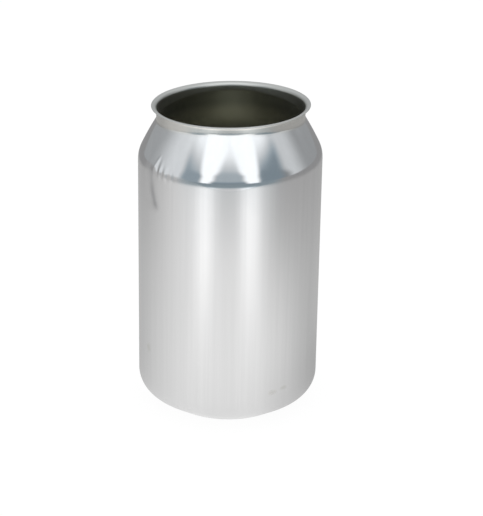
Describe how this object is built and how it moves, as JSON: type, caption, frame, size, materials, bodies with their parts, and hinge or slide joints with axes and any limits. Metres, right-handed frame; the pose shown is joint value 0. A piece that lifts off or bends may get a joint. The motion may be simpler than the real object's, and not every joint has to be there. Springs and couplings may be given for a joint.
{
  "type": "beverage can body",
  "caption": "Open drawn and ironed aluminium drinks can body with a necked, flanged mouth and a domed base.",
  "frame": {"origin": "on the can's axis, in the plane of the ring that it stands on", "axes": "+Z along the can's axis, up to the open mouth; +X to the right and -Y to the front as first seen; the can is round, so X and Y are free"},
  "size_m": [0.0662, 0.0662, 0.1152],
  "materials": {
    "can_metal": "bare satin sheet, drawn upwards on the wall and brighter on the neck, with a thin clear lacquer inside"
  },
  "bodies": {
    "root": {"can_body": "can_metal"}
  },
  "joints": []
}
